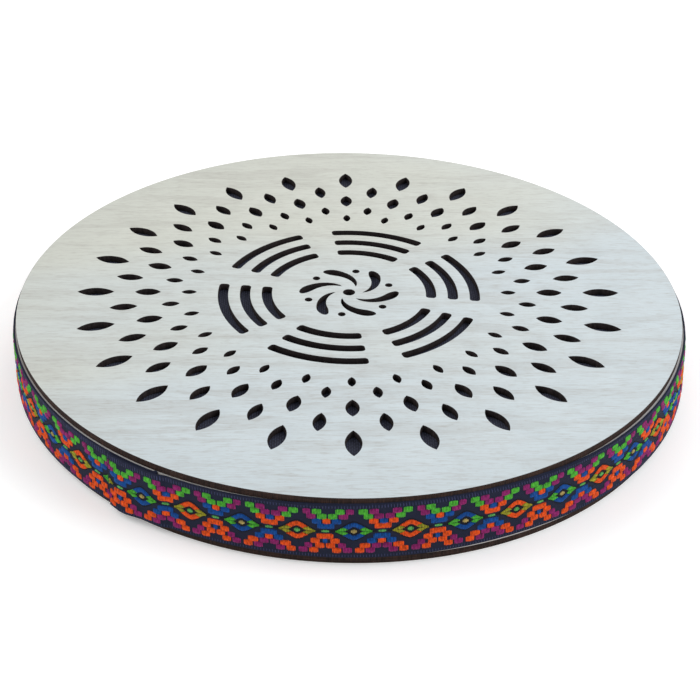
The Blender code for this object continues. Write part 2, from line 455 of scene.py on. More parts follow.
class LaserChar(SharedEffect):
    """A laser-cut edge: scorched brown-black, with upright cutting marks and the lines of the glued plies."""

    name = "laser_char"
    inputs = {
        "Unrolled": (Wiring.VECTOR, None),
        "Soot": (Wiring.COLOUR, (0.01, 0.008, 0.007, 1.0)),
        "Scorch": (Wiring.COLOUR, (0.04, 0.02, 0.015, 1.0)),
        "Ply": (Wiring.VALUE, 0.001),
        "Base": (Wiring.VALUE, 0.0),
    }
    outputs = {"Colour": Wiring.COLOUR, "Height": Wiring.VALUE}
    streak_scale: Place = (2600.0, 140.0, 260.0)
    blotch_scale: Place = (70.0, 500.0, 70.0)

    def wire(self, board: NodeBoard, given: dict[str, Socket]) -> dict[str, Socket]:
        """Mix upright streaks, blotches and a dark line at each glue line.

        Args:
            board: the group's own tree.
            given: the group's inputs, by name.
        Returns:
            The group's outputs, by name.
        """
        _, height, _ = board.split(given["Unrolled"])
        streak = board.noise(board.scaled(given["Unrolled"], self.streak_scale), 1.0, 2.0)
        blotch = board.noise(board.scaled(given["Unrolled"], self.blotch_scale), 1.0, 2.0)
        level = board.maths("DIVIDE", board.maths("SUBTRACT", height, given["Base"]), given["Ply"])
        layer = board.maths("FRACT", level)
        from_line = board.maths("ABSOLUTE", board.maths("SUBTRACT", layer, 0.5))
        glue = board.window(from_line, 0.36, 0.48)
        scorch = board.window(board.maths("ADD", streak, board.maths("MULTIPLY", blotch, 0.5)), 0.55, 1.0)
        between_lines = board.maths("SUBTRACT", 1.0, board.maths("MULTIPLY", glue, 0.7))
        scorch = board.maths("MULTIPLY", scorch, between_lines)
        relief = board.maths("SUBTRACT", streak, board.maths("MULTIPLY", glue, 0.5))
        return {"Colour": board.blend(scorch, given["Soot"], given["Scorch"]), "Height": relief}


class ThreadWeave(SharedEffect):
    """A plain weave: two sets of round threads that pass over and under each other."""

    name = "thread_weave"
    inputs = {
        "Along": (Wiring.VALUE, 0.0),
        "Across": (Wiring.VALUE, 0.0),
        "Pitch Along": (Wiring.VALUE, 0.0006),
        "Pitch Across": (Wiring.VALUE, 0.0006),
    }
    outputs = {"Height": Wiring.VALUE, "Upper": Wiring.VALUE}

    def wire(self, board: NodeBoard, given: dict[str, Socket]) -> dict[str, Socket]:
        """Take each thread's round top where it is the upper one.

        Args:
            board: the group's own tree.
            given: the group's inputs, by name.
        Returns:
            The group's outputs, by name.
        """
        crowns = []
        cells = []
        for length, pitch in (("Along", "Pitch Along"), ("Across", "Pitch Across")):
            count = board.maths("DIVIDE", given[length], given[pitch])
            wave = board.maths("SINE", board.maths("MULTIPLY", count, math.pi))
            crowns.append(board.maths("ABSOLUTE", wave))
            cells.append(board.maths("FLOOR", count))
        total = board.maths("ABSOLUTE", board.maths("ADD", cells[0], cells[1]))
        parity = board.maths("MODULO", total, 2.0)
        first = board.maths("MULTIPLY", crowns[0], parity)
        second = board.maths("MULTIPLY", crowns[1], board.maths("SUBTRACT", 1.0, parity))
        return {"Height": board.maths("ADD", first, second), "Upper": parity}


class YarnFibre(SharedEffect):
    """Spun filaments that lean round a yarn, with a tone that wanders from yarn to yarn."""

    name = "yarn_fibre"
    inputs = {"Unrolled": (Wiring.VECTOR, None), "Yarn Pitch": (Wiring.VALUE, 0.0008)}
    outputs = {"Tone": Wiring.VALUE, "Height": Wiring.VALUE}
    filament_pitch: float = 0.42 * MM
    filament_lean: float = 0.55

    def wire(self, board: NodeBoard, given: dict[str, Socket]) -> dict[str, Socket]:
        """Lean fine lines across the yarns, and give each yarn its own tone.

        Args:
            board: the group's own tree.
            given: the group's inputs, by name.
        Returns:
            The group's outputs, by name.
        """
        along, height, _ = board.split(given["Unrolled"])
        lean = board.maths("ADD", height, board.maths("MULTIPLY", along, self.filament_lean))
        filament = board.maths("SINE", board.maths("MULTIPLY", lean, 2.0 * math.pi / self.filament_pitch))
        number = board.maths("FLOOR", board.maths("DIVIDE", along, given["Yarn Pitch"]))
        seed = board.joined(number, board.maths("MULTIPLY", height, 320.0), 0.0)
        tone = board.noise(seed, 1.0, 1.0)
        wear = board.noise(given["Unrolled"], 900.0, 2.0)
        tone = board.maths("ADD", board.maths("MULTIPLY", tone, 0.7), board.maths("MULTIPLY", wear, 0.3))
        relief = board.maths("ADD", board.maths("MULTIPLY", filament, 0.5), wear)
        return {"Tone": tone, "Height": relief}


# --------------------------------------------------------------------------------------------------------
# Finishes


def opaque(colour: Colour) -> tuple[float, float, float, float]:
    """Return a colour with full alpha."""
    return (*colour, 1.0)


def shaded(colour: Colour, share: float) -> tuple[float, float, float, float]:
    """Return a colour made lighter or darker by a share of itself."""
    return opaque(tuple(clamp(part * share) for part in colour))


@dataclass(frozen=True)
class Finish:
    """What every finish holds: its name and the plain values of its shader."""

    name: str
    roughness: float = 0.6
    bump_depth: float = 0.0001
    bump_strength: float = 0.5

    def start(self) -> tuple[bpy.types.Material, NodeBoard, bpy.types.Node, Socket]:
        """Return a new material, its board, its shader and the piece's own coordinates.

        Returns:
            The material, its board, its shader and its coordinates.
        """
        material = bpy.data.materials.new(self.name)
        material.use_nodes = True
        board = NodeBoard(material.node_tree)
        shader = material.node_tree.nodes["Principled BSDF"]
        shader.inputs["Roughness"].default_value = self.roughness
        return material, board, shader, board.node("ShaderNodeTexCoord").outputs["Object"]

    def relief(self, board: NodeBoard, shader: bpy.types.Node, height: Socket) -> None:
        """Feed a height into the shader's normal."""
        inputs = {"Height": height, "Distance": self.bump_depth, "Strength": self.bump_strength}
        board.feed(shader.inputs["Normal"], board.node("ShaderNodeBump", inputs).outputs[0])


@dataclass(frozen=True)
class PlywoodFinish(Finish):
    """A sanded veneer with its grain along X, or round the hoop, with an optional painted light tint."""

    pale: Colour = (0.6, 0.6, 0.6)
    warm: Colour = (0.6, 0.55, 0.5)
    line: Colour = (0.4, 0.35, 0.3)
    figure: float = 0.22
    # Painted light: the plan direction in which the veneer is painted warmer, for warmer light from that side.
    painted_light_warm_towards: Place = (0.0, 0.0, 0.0)
    round_hoop: bool = False

    def material(self) -> bpy.types.Material:
        """Return the veneer's material.

        Returns:
            The material.
        """
        material, board, shader, place = self.start()
        # Painted light: distance along that direction sets how warm the light is painted.
        painted_light_tint = board.node("ShaderNodeVectorMath", {0: place, 1: self.painted_light_warm_towards}, operation="DOT_PRODUCT")
        if self.round_hoop:
            place = RoundHoop().place(board, Position=place)["Unrolled"]
        grain = WoodGrain().place(board, Position=place, Pale=opaque(self.pale), Warm=opaque(self.warm),
                                  Line=opaque(self.line), Figure=self.figure, PaintedLight=painted_light_tint.outputs["Value"])
        board.feed(shader.inputs["Base Color"], grain["Colour"])
        rough = board.maths("ADD", board.maths("MULTIPLY", grain["Height"], 0.12), self.roughness - 0.03)
        board.feed(shader.inputs["Roughness"], rough)
        self.relief(board, shader, grain["Height"])
        return material


@dataclass(frozen=True)
class CharFinish(Finish):
    """A laser-cut edge of plywood."""

    soot: Colour = (0.012, 0.007, 0.006)
    scorch: Colour = (0.052, 0.025, 0.018)
    ply: float = 0.001
    base: float = 0.0

    def material(self) -> bpy.types.Material:
        """Return the charred edge's material.

        Returns:
            The material.
        """
        material, board, shader, place = self.start()
        unrolled = RoundHoop().place(board, Position=place)["Unrolled"]
        shader.inputs["Specular IOR Level"].default_value = 0.2
        char = LaserChar().place(board, Unrolled=unrolled, Soot=opaque(self.soot), Scorch=opaque(self.scorch),
                                 Ply=self.ply, Base=self.base)
        board.feed(shader.inputs["Base Color"], char["Colour"])
        self.relief(board, shader, char["Height"])
        return material


@dataclass(frozen=True)
class WovenFinish(Finish):
    """A plain-woven cloth or ribbon ground: a thread colour, with a painted highlight colour on the raised
    thread crowns.
    """

    thread: Colour = (0.02, 0.02, 0.04)
    glint: Colour = (0.04, 0.045, 0.08)
    pitch_along: float = 0.0007
    pitch_across: float = 0.0007
    round_hoop: bool = False

    def material(self) -> bpy.types.Material:
        """Return the cloth's material.

        Returns:
            The material.
        """
        material, board, shader, place = self.start()
        if self.round_hoop:
            place = RoundHoop().place(board, Position=place)["Unrolled"]
        along, across, _ = board.split(place)
        weave = ThreadWeave().place(board, Along=along, Across=across, Pitch_Along=self.pitch_along,
                                    Pitch_Across=self.pitch_across)
        fuzz = board.noise(place, 1400.0, 2.0)
        # Painted highlight: the glint colour grows with each thread's crown height, broken up by random fuzz,
        # and more on upper threads.
        share = board.maths("MULTIPLY", weave["Height"], board.maths("ADD", fuzz, 0.15), True)
        lit = board.maths("ADD", board.maths("MULTIPLY", weave["Upper"], 0.3), 0.7)
        share = board.maths("MULTIPLY", share, lit)
        board.feed(shader.inputs["Base Color"], board.blend(share, opaque(self.thread), opaque(self.glint)))
        height = board.maths("ADD", weave["Height"], board.maths("MULTIPLY", fuzz, 0.4))
        shader.inputs["Specular IOR Level"].default_value = 0.15
        self.relief(board, shader, height)
        return material


@dataclass(frozen=True)
class YarnFinish(Finish):
    """A dyed polyester figure yarn."""

    colour: Colour = (0.5, 0.5, 0.5)
    pitch: float = 0.0008
    gloss: float = 0.2

    def material(self) -> bpy.types.Material:
        """Return the yarn's material.

        Returns:
            The material.
        """
        material, board, shader, place = self.start()
        unrolled = RoundHoop().place(board, Position=place)["Unrolled"]
        fibre = YarnFibre().place(board, Unrolled=unrolled, Yarn_Pitch=self.pitch)
        share = board.window(fibre["Tone"], 0.3, 0.7)
        tone = board.blend(share, shaded(self.colour, 0.58), shaded(self.colour, 1.34))
        board.feed(shader.inputs["Base Color"], tone)
        shader.inputs["Specular IOR Level"].default_value = self.gloss
        self.relief(board, shader, fibre["Height"])
        return material


@dataclass(frozen=True)
class SteelFinish(Finish):
    """Tumbled steel shot: bright, with fine scratches and duller patches."""

    colour: Colour = (0.55, 0.56, 0.58)

    def material(self) -> bpy.types.Material:
        """Return the steel's material.

        Returns:
            The material.
        """
        material, board, shader, place = self.start()
        scratch = board.noise(board.scaled(place, (900.0, 5200.0, 2400.0)), 1.0, 2.0, 1.5)
        patch = board.noise(place, 700.0, 2.0)
        shader.inputs["Metallic"].default_value = 1.0
        share = board.window(patch, 0.35, 0.7)
        tone = board.blend(share, shaded(self.colour, 0.85), shaded(self.colour, 1.12))
        board.feed(shader.inputs["Base Color"], tone)
        rough = board.maths("ADD", board.maths("MULTIPLY", patch, 0.16), self.roughness - 0.08)
        board.feed(shader.inputs["Roughness"], rough)
        self.relief(board, shader, scratch)
        return material


@dataclass(frozen=True)
class FloorFinish(Finish):
    """The plain pale floor."""

    colour: Colour = (0.95, 0.95, 0.95)
    glow: float = 0.22

    def material(self) -> bpy.types.Material:
        """Return the floor's material.

        Returns:
            The material.
        """
        material, _, shader, _ = self.start()
        shader.inputs["Base Color"].default_value = opaque(self.colour)
        shader.inputs["Specular IOR Level"].default_value = 0.1
        shader.inputs["Emission Color"].default_value = opaque(self.colour)
        shader.inputs["Emission Strength"].default_value = self.glow
        return material


# --------------------------------------------------------------------------------------------------------
# Plates


@dataclass(frozen=True)
class LeafRing:
    """One ring of leaf-shaped holes."""

    radius: float
    length: float
    width: float
    shifted: bool

    def outline(self, degrees: float, arc_steps: int) -> Outline:
        """Return one leaf of two circular arcs that meet in points.

        Args:
            degrees: the leaf's place round the plate.
            arc_steps: the number of straight runs in each arc.
        Returns:
            The outline, counter-clockwise.
        """
        arc_radius = (self.length ** 2 + self.width ** 2) / (4.0 * self.width)
        half_angle = math.asin(self.length / (2.0 * arc_radius))
        points = []
        for side in (1.0, -1.0):
            for step in range(arc_steps):
                bend = side * half_angle * (1.0 - 2.0 * step / arc_steps)
                along = self.radius + arc_radius * math.sin(bend)
                across = side * (arc_radius * math.cos(bend) - arc_radius + self.width / 2.0)
                points.append(turned((along, across), degrees))
        return points


@dataclass
class Artwork:
    """The pattern that is cut through the face: five rings of leaves, six fans of slots and a whirl."""

    rim_margin: float = 34.6 * MM
    leaves: int = 24
    rings: tuple[LeafRing, ...] = (
        LeafRing(radius=154.4 * MM, length=22.0 * MM, width=9.0 * MM, shifted=False),
        LeafRing(radius=136.7 * MM, length=16.4 * MM, width=7.0 * MM, shifted=True),
        LeafRing(radius=122.7 * MM, length=15.4 * MM, width=7.5 * MM, shifted=False),
        LeafRing(radius=108.6 * MM, length=10.6 * MM, width=5.2 * MM, shifted=True),
        LeafRing(radius=97.6 * MM, length=9.1 * MM, width=4.45 * MM, shifted=False),
    )
    slot_fans: int = 6
    slot_first: float = 15.0
    slot_radii: tuple[float, ...] = (76.9 * MM, 63.5 * MM, 50.2 * MM)
    slot_width: float = 6.0 * MM
    slot_half_span: float = 22.4
    slot_corner: float = 2.1 * MM
    commas: int = 6
    comma_tail: float = 8.5 * MM
    comma_head: float = 29.5 * MM
    comma_twist: float = 62.0
    comma_width: float = 6.6 * MM
    comma_head_share: float = 0.80
    dot_ring: float = 26.2 * MM
    dot_radius: float = 2.2 * MM
    hub_radius: float = 3.6 * MM
    arc_steps: int = 16

    def slot(self, radius: float, degrees: float) -> Outline:
        """Return a slot along a circle, with its ends squared off by small round corners.

        Args:
            radius: the radius of the slot's middle line.
            degrees: the slot's place round the plate.
        Returns:
            The outline, counter-clockwise.
        """
        corner = self.slot_corner
        half = self.slot_width / 2.0
        reach = math.radians(self.slot_half_span) * radius
        run = reach - corner
        flat = []
        for step in range(self.arc_steps * 2 + 1):
            flat.append((between(-run, run, step / (self.arc_steps * 2.0)), -half))
        for middle, start in (((run, -half + corner), -90.0), ((run, half - corner), 0.0)):
            for step in range(1, 6):
                x, y = polar(corner, start + 90.0 * step / 6.0)
                flat.append((middle[0] + x, middle[1] + y))
        flat += [(-x, -y) for x, y in flat]
        points = []
        for along, out in flat:
            points.append(polar(radius - out, degrees - math.degrees(along / radius)))
        return points[::-1] if signed_area(points) < 0.0 else points

    def comma_line(self, share: float, degrees: float) -> Point:
        """Return a point on a comma's middle line, from its tail (0) to the tip of its head (1)."""
        radius = between(self.comma_tail, self.comma_head, share)
        return polar(radius, degrees + self.comma_twist * share)

    def comma_half(self, share: float) -> float:
        """Return a comma's half width: it grows from the tail, and the head is round.

        Args:
            share: the share of the way from tail to head.
        Returns:
            The half width.
        """
        if share <= self.comma_head_share:
            return self.comma_width / 2.0 * (share / self.comma_head_share) ** 0.8
        past = (share - self.comma_head_share) / (1.0 - self.comma_head_share)
        return self.comma_width / 2.0 * math.sqrt(max(0.0, 1.0 - past ** 2))

    def comma(self, degrees: float) -> Outline:
        """Return one comma of the whirl.

        Args:
            degrees: the angle of the comma's tail.
        Returns:
            The outline.
        """
        steps = self.arc_steps
        shares = [self.comma_head_share * step / steps for step in range(1, steps)]
        for step in range(steps):
            shares.append(between(self.comma_head_share, 1.0, math.sin(math.pi / 2.0 * step / steps)))
        left, right = [], []
        for share in shares:
            x, y = self.comma_line(share, degrees)
            ahead = self.comma_line(share + 0.01, degrees)
            step_x, step_y = ahead[0] - x, ahead[1] - y
            scale = self.comma_half(share) / math.hypot(step_x, step_y)
            left.append((x - step_y * scale, y + step_x * scale))
            right.append((x + step_y * scale, y - step_x * scale))
        return [self.comma_line(0.0, degrees)] + right + [self.comma_line(1.0, degrees)] + left[::-1]

    def holes(self, plate_radius: float) -> list[Outline]:
        """Return every hole's outline, counter-clockwise and fitted inside the plate's plain margin.

        Args:
            plate_radius: the plate's own radius.
        Returns:
            The outlines, in metres.
        """
        found = []
        pitch = 360.0 / self.leaves
        for ring in self.rings:
            first = pitch / 2.0 if ring.shifted else 0.0
            found += [ring.outline(first + pitch * step, self.arc_steps) for step in range(self.leaves)]
        for radius in self.slot_radii:
            for step in range(self.slot_fans):
                found.append(self.slot(radius, self.slot_first + 360.0 * step / self.slot_fans))
        pitch = 360.0 / self.commas
        for step in range(self.commas):
            found.append(self.comma(pitch * step))
            turn = pitch * (step + 0.5) + self.comma_twist * self.comma_head_share
            found.append(circle(self.dot_radius, 24, polar(self.dot_ring, turn)))
        found.append(circle(self.hub_radius, 32))
        outer = self.rings[0]
        scale = (plate_radius - self.rim_margin) / (outer.radius + outer.length / 2.0)
        found = [[(x * scale, y * scale) for x, y in hole] for hole in found]
        return [hole if signed_area(hole) > 0.0 else hole[::-1] for hole in found]


def signed_area(outline: Outline) -> float:
    """Return an outline's area, positive when it runs counter-clockwise.

    Args:
        outline: the points.
    Returns:
        The area in square metres.
    """
    total = 0.0
    for (x0, y0), (x1, y1) in zip(outline, outline[1:] + outline[:1]):
        total += x0 * y1 - x1 * y0
    return total / 2.0


@dataclass
class Plate:
    """A round laser-cut plywood plate that stands for a CAD plate."""

    node: str
    name: str
    slot: str
    veneer: PlywoodFinish
    sides: int = 720
    ease: float = 0.14 * MM
    plies: int = 3
    glue_groove: float = 0.05 * MM
    outset: float = 0.3 * MM
    shift: Point = (0.4 * MM, 0.2 * MM)

    def measure(self) -> None:
        """Take the plate's radius and heights from the frame."""
        low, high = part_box(self.node)
        self.radius = (high.x - low.x) / 2.0
        self.bottom = low.z
        self.top = high.z

    def edge_profile(self, grooved: bool) -> list[tuple[float, float]]:
        """Return the cut wall's profile as (inset into the wood, height) from top to bottom.

        Args:
            grooved: whether the glue lines between the plies show as fine grooves.
        Returns:
            The profile's points.
        """
        ease = self.ease
        profile = [(ease, self.top), (ease * 0.3, self.top - ease * 0.3), (0.0, self.top - ease)]
        if grooved:
            ply = (self.top - self.bottom) / self.plies
            for number in range(1, self.plies):
                line = self.top - ply * number
                for inset, step in ((0.0, 0.12), (self.glue_groove, 0.0), (0.0, -0.12)):
                    profile.append((inset, line + step * MM))
        profile += [(0.0, self.bottom + ease), (ease * 0.3, self.bottom + ease * 0.3), (ease, self.bottom)]
        return profile

    def cut(self, draft: MeshDraft, outline: Outline, hole: bool) -> tuple[list[int], list[int]]:
        """Add the wall along one outline.

        Args:
            draft: the mesh being built.
            outline: the cut line, counter-clockwise.
            hole: whether the wood lies outside the line.
        Returns:
            The vertex numbers of the wall's top and bottom rings.
        """
        rings = []
        for inset, height in self.edge_profile(not hole):
            line = grown(outline, inset if hole else -inset)
            rings.append(draft.ring((x, y, height) for x, y in line))
        for upper, lower in zip(rings, rings[1:]):
            draft.bridge(upper, lower, slot=2 if hole else 1)
        return rings[0], rings[-1]

    def outlines(self) -> list[Outline]:
        """Return the plate's holes."""
        return []

    def build(self) -> bpy.types.Object:
        """Make the plate with its faces, cut walls and finishes.

        Returns:
            The finished piece.
        """
        self.measure()
        draft = MeshDraft()
        tops, bottoms = [], []
        holes = self.outlines()
        rim = circle(self.radius + self.outset, self.sides, self.shift)
        for number, outline in enumerate([rim] + holes):
            top, bottom = self.cut(draft, outline, hole=number > 0)
            tops.append(top)
            bottoms.append(bottom)
        for rings in (tops, bottoms):
            self.fill(draft, rings)
        mesh = draft.mesh(self.name, 30.0)
        char = CharFinish(f"{self.name}_charred_edge", roughness=0.82, bump_depth=0.00012, bump_strength=0.7,
                          ply=(self.top - self.bottom) / self.plies, base=self.bottom)
        smoke = CharFinish(f"{self.name}_smoked_cut", roughness=0.86, bump_depth=0.00012, bump_strength=0.7,
                           soot=(0.017, 0.013, 0.013), scorch=(0.046, 0.034, 0.034),
                           ply=(self.top - self.bottom) / self.plies, base=self.bottom)
        finishes = [self.veneer, char] + ([smoke] if holes else [])
        piece = add_piece(self.name, mesh, [finish.material() for finish in finishes])
        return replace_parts(piece, self.node)

    def fill(self, draft: MeshDraft, rings: list[list[int]]) -> None:
        """Fill one flat face between its rings of vertices.

        Args:
            draft: the mesh being built.
            rings: the face's outer ring and its holes' rings.
        """
        working = bmesh.new()
        for ring in rings:
            verts = [working.verts.new(draft.verts[number]) for number in ring]
            for first, second in zip(verts, verts[1:] + verts[:1]):
                working.edges.new((first, second))
        working.verts.index_update()
        numbers = [number for ring in rings for number in ring]
        bmesh.ops.triangle_fill(working, use_beauty=True, edges=working.edges[:])
        for face in working.faces:
            draft.face([numbers[vert.index] for vert in face.verts])
        working.free()


@dataclass
class FacePlate(Plate):
    """The pierced face."""

    artwork: Artwork = field(default_factory=Artwork)

    def outlines(self) -> list[Outline]:
        """Return the artwork's holes at the plate's size."""
        return self.artwork.holes(self.radius)


# --------------------------------------------------------------------------------------------------------
# Hoop and lining


@dataclass(frozen=True)
class HoopStance:
    """How the glued hoop stands: a little off the plates' axis, leaning, and spread at its foot."""

    shift: Point = (0.5 * MM, 0.7 * MM)
    lean: float = 0.8 * MM
    spread: float = 2.2 * MM
    height: float = 42.0 * MM

    def point(self, radius: float, degrees: float, height: float) -> Place:
        """Return the point at a radius, an angle and a height of the hoop.

        Args:
            radius: the distance from the hoop's own axis.
            degrees: the angle round it.
            height: the height above the floor.
        Returns:
            The point in the frame.
        """
        low = clamp(1.0 - height / self.height)
        sideways = math.cos(math.radians(degrees)) ** 2
        x, y = polar(radius + self.spread * low * sideways, degrees)
        return (x + self.shift[0] + self.lean * low, y + self.shift[1], height)


@dataclass
class Hoop:
    """The bent plywood strip between the plates, closed by a scarf joint."""

    node: str = "hoop"
    stance: HoopStance = HoopStance()
    wall: float = 3.7 * MM
    ease: float = 0.3 * MM
    scarf_length: float = 24.0 * MM
    scarf_angle: float = 60.0
    scarf_gap: float = 0.1 * MM
    stations: int = 720
    waviness: float = 0.05 * MM

    def section(self) -> list[tuple[float, float]]:
        """Return the strip's section as (share of the wall from the inside, height), in a closed ring.

        Returns:
            The points of the ring.
        """
        corner = self.ease / self.wall
        low, high, ease = self.bottom, self.top, self.ease
        rows = [low + ease] + [between(low, high, share) for share in (0.25, 0.5, 0.75)] + [high - ease]
        outer = [(1.0, height) for height in rows]
        roof = [(1.0 - corner * 0.3, high - ease * 0.3), (1.0 - corner, high), (0.66, high), (0.33, high),
                (corner, high), (corner * 0.3, high - ease * 0.3)]
        inner = [(0.0, height) for height in reversed(rows)]
        sole = [(corner * 0.3, low + ease * 0.3), (corner, low), (1.0 - corner, low),
                (1.0 - corner * 0.3, low + ease * 0.3)]
        return outer + roof + inner + sole

    def build(self) -> bpy.types.Object:
        """Make the hoop.

        Returns:
            The finished piece.
        """
        low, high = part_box(self.node)
        self.bottom, self.top = low.z, high.z
        outer = (high.x - low.x) / 2.0
        slant = math.degrees(self.scarf_length / outer)
        opening = math.degrees(self.scarf_gap / outer) * self.scarf_length / self.wall
        section = self.section()
        draft = MeshDraft()
        rings = []
        for step in range(self.stations + 1):
            share = step / self.stations
            degrees = self.scarf_angle + (360.0 - opening) * share
            near_end = min(share, 1.0 - share) * 360.0
            lean = slant * max(0.0, 1.0 - near_end / (2.0 * slant))
            points = []
            for wall_share, height in section:
                wave = self.waviness * noise.noise(Vector((degrees * 0.12, height * 60.0, 3.0)))
                radius = outer - self.wall * (1.0 - wall_share) + (wave if near_end > 0.0 else 0.0)
                points.append(self.stance.point(radius, degrees + lean * (1.0 - wall_share), height))
            rings.append(draft.ring(points))
        for first, second in zip(rings, rings[1:]):
            draft.bridge(first, second)
        draft.face(rings[0])
        draft.face(rings[-1][::-1])
        finish = PlywoodFinish("bent_hoop_veneer", roughness=0.55, bump_depth=0.00008,
                               pale=(0.50, 0.49, 0.50), warm=(0.47, 0.44, 0.40), line=(0.30, 0.25, 0.20),
                               figure=0.3, round_hoop=True)
        piece = add_piece("bent_hoop", draft.mesh("bent_hoop", 30.0), [finish.material()])
        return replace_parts(piece, self.node)


@dataclass
class Lining:
    """The round of cloth glued under the face. It sags a little where nothing holds it."""

    node: str = "lining_cloth"
    thickness: float = 0.45 * MM
    sag: float = 0.35 * MM
    glue_gap: float = 0.05 * MM
    glued_rim: float = 0.12
    ripple_scale: float = 60.0
    rings: int = 96
    sides: int = 240

    def build(self) -> bpy.types.Object:
        """Make the lining as one thin closed sheet.

        Returns:
            The finished piece.
        """
        low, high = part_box(self.node)
        radius = (high.x - low.x) / 2.0
        draft = MeshDraft()
        faces = []
        for side in (0.0, -self.thickness):
            loops = []
            for ring in range(1, self.rings + 1):
                points = []
                for x, y in circle(radius * ring / self.rings, self.sides):
                    points.append((x, y, high.z - self.glue_gap - self.droop(x, y, radius) + side))
                loops.append(draft.ring(points))
            for inner, outer in zip(loops, loops[1:]):
                draft.bridge(inner, outer)
            middle = draft.ring([(0.0, 0.0, high.z - self.glue_gap - self.sag * 0.5 + side)])[0]
            for index in range(self.sides):
                draft.face((middle, loops[0][index], loops[0][(index + 1) % self.sides]))
            faces.append(loops[-1])
        draft.bridge(faces[0], faces[1])
        # The glint colour is the painted highlight on the cloth's thread crowns.
        finish = WovenFinish("navy_lining_weave", roughness=0.8, bump_depth=0.00025, bump_strength=0.8,
                             thread=(0.020, 0.018, 0.023), glint=(0.105, 0.118, 0.185),
                             pitch_along=1.3 * MM, pitch_across=1.3 * MM)
        piece = add_piece("cloth_lining", draft.mesh("cloth_lining", 60.0), [finish.material()])
        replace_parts(piece, self.node)
        return piece

    def droop(self, x: float, y: float, radius: float) -> float:
        """Return how far the cloth hangs below the plate at a plan point.

        Args:
            x: the point across.
            y: the point along.
            radius: the cloth's radius.
        Returns:
            The drop, in metres.
        """
        from_middle = math.hypot(x, y) / radius
        held = smoothstep((1.0 - from_middle) / self.glued_rim)
        ripple = 0.5 + 0.5 * noise.noise(Vector((x * self.ripple_scale, y * self.ripple_scale, 0.0)))
        return self.sag * held * ripple


# --------------------------------------------------------------------------------------------------------
# Ribbon


class Yarn(Enum):
    """The ribbon's yarns, by what they draw."""

    MAGENTA = "magenta"
    GREEN = "green"
    ORANGE = "orange"
    BLUE = "blue"
    OLIVE = "olive"
    TAN = "tan"
    MINT = "mint"
    OUTLINE = "outline"
    TICK = "tick"


YARN_COLOURS: dict[Yarn, Colour] = {
    Yarn.MAGENTA: (0.27, 0.014, 0.135),
    Yarn.GREEN: (0.075, 0.42, 0.035),
    Yarn.ORANGE: (0.80, 0.085, 0.006),
    Yarn.BLUE: (0.002, 0.070, 0.30),
    Yarn.OLIVE: (0.33, 0.31, 0.02),
    Yarn.TAN: (0.44, 0.34, 0.11),
    Yarn.MINT: (0.11, 0.40, 0.10),
    Yarn.OUTLINE: (0.004, 0.005, 0.008),
    Yarn.TICK: (0.036, 0.043, 0.105),
}


@dataclass(frozen=True)
class Float:
    """One upright figure yarn that lies over the ground: where it is along the ribbon, and its two ends."""

    yarn: Yarn
    along: float
    upper: float
    lower: float
    rise: float = 1.0


@dataclass(frozen=True)
class StepRow:
    """One row of a stepped figure: blocks of (yarn, first column, last column), mirrored about its middle."""

    row: int
    blocks: tuple[tuple[Yarn, int, int], ...]


